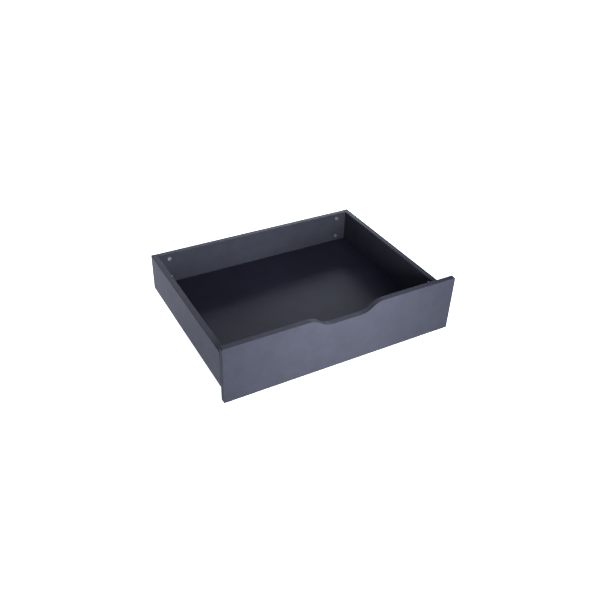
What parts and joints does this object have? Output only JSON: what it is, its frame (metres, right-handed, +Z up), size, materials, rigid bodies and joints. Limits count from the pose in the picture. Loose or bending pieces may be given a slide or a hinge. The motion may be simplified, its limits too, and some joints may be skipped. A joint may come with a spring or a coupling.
{
  "type": "under desk drawer",
  "caption": "Low roll-out storage drawer in dark laminated board, open at the top, with a wave-shaped hand cut-out in a front panel that overhangs the box, on fixed castors.",
  "frame": {"origin": "on the floor, in the middle of the bounding box seen from above", "axes": "+X to the right for someone facing the front panel, +Y from the front panel towards the back, +Z up"},
  "size_m": [0.715, 0.516, 0.181],
  "materials": {
    "anthracite_laminate": "particle board with satin anthracite melamine laminate and matching edge bands",
    "zinc_alloy": "die-cast zinc alloy, dull bright",
    "plated_steel": "zinc-plated steel",
    "beech": "plain fluted beech",
    "black_plastic": "moulded, fine texture",
    "wheel_plastic": "solid nylon, matte"
  },
  "bodies": {
    "drawer": {"back_panel": "anthracite_laminate", "back_screw_left": "plated_steel", "back_screw_middle": "plated_steel", "back_screw_right": "plated_steel", "bottom_panel": "anthracite_laminate", "cam_back_left_lower": "zinc_alloy", "cam_back_left_upper": "zinc_alloy", "cam_back_right_lower": "zinc_alloy", "cam_back_right_upper": "zinc_alloy", "cam_bolt_back_left_lower": "plated_steel", "cam_bolt_back_left_upper": "plated_steel", "cam_bolt_back_right_lower": "plated_steel", "cam_bolt_back_right_upper": "plated_steel", "cam_bolt_bottom_left_front": "plated_steel", "cam_bolt_bottom_left_rear": "plated_steel", "cam_bolt_bottom_right_front": "plated_steel", "cam_bolt_bottom_right_rear": "plated_steel", "cam_bolt_front_left_lower": "plated_steel", "cam_bolt_front_left_upper": "plated_steel", "cam_bolt_front_right_lower": "plated_steel", "cam_bolt_front_right_upper": "plated_steel", "cam_bottom_left_front": "zinc_alloy", "cam_bottom_left_rear": "zinc_alloy", "cam_bottom_right_front": "zinc_alloy", "cam_bottom_right_rear": "zinc_alloy", "cam_front_left_lower": "zinc_alloy", "cam_front_left_upper": "zinc_alloy", "cam_front_right_lower": "zinc_alloy", "cam_front_right_upper": "zinc_alloy", "castor_front_left_axle": "plated_steel", "castor_front_left_housing": "black_plastic", "castor_front_left_screw_front": "plated_steel", "castor_front_left_screw_rear": "plated_steel", "castor_front_right_axle": "plated_steel", "castor_front_right_housing": "black_plastic", "castor_front_right_screw_front": "plated_steel", "castor_front_right_screw_rear": "plated_steel", "castor_rear_left_axle": "plated_steel", "castor_rear_left_housing": "black_plastic", "castor_rear_left_screw_front": "plated_steel", "castor_rear_left_screw_rear": "plated_steel", "castor_rear_right_axle": "plated_steel", "castor_rear_right_housing": "black_plastic", "castor_rear_right_screw_front": "plated_steel", "castor_rear_right_screw_rear": "plated_steel", "dowel_back_left": "beech", "dowel_back_right": "beech", "dowel_bottom_left_front": "beech", "dowel_bottom_left_rear": "beech", "dowel_bottom_right_front": "beech", "dowel_bottom_right_rear": "beech", "dowel_front_left": "beech", "dowel_front_right": "beech", "front_panel": "anthracite_laminate", "left_side": "anthracite_laminate", "right_side": "anthracite_laminate"},
    "front_left_wheel": {"castor_front_left_wheel": "wheel_plastic"},
    "front_right_wheel": {"castor_front_right_wheel": "wheel_plastic"},
    "rear_left_wheel": {"castor_rear_left_wheel": "wheel_plastic"},
    "rear_right_wheel": {"castor_rear_right_wheel": "wheel_plastic"}
  },
  "joints": [
    {"name": "front_left_wheel_spin", "type": "hinge", "parent": "drawer", "child": "front_left_wheel", "pos_m": [-0.2975, -0.157, 0.02], "axis": [1, 0, 0], "continuous": true},
    {"name": "front_right_wheel_spin", "type": "hinge", "parent": "drawer", "child": "front_right_wheel", "pos_m": [0.2625, -0.157, 0.02], "axis": [1, 0, 0], "continuous": true},
    {"name": "rear_left_wheel_spin", "type": "hinge", "parent": "drawer", "child": "rear_left_wheel", "pos_m": [-0.2975, 0.173, 0.02], "axis": [1, 0, 0], "continuous": true},
    {"name": "rear_right_wheel_spin", "type": "hinge", "parent": "drawer", "child": "rear_right_wheel", "pos_m": [0.2625, 0.173, 0.02], "axis": [1, 0, 0], "continuous": true}
  ]
}
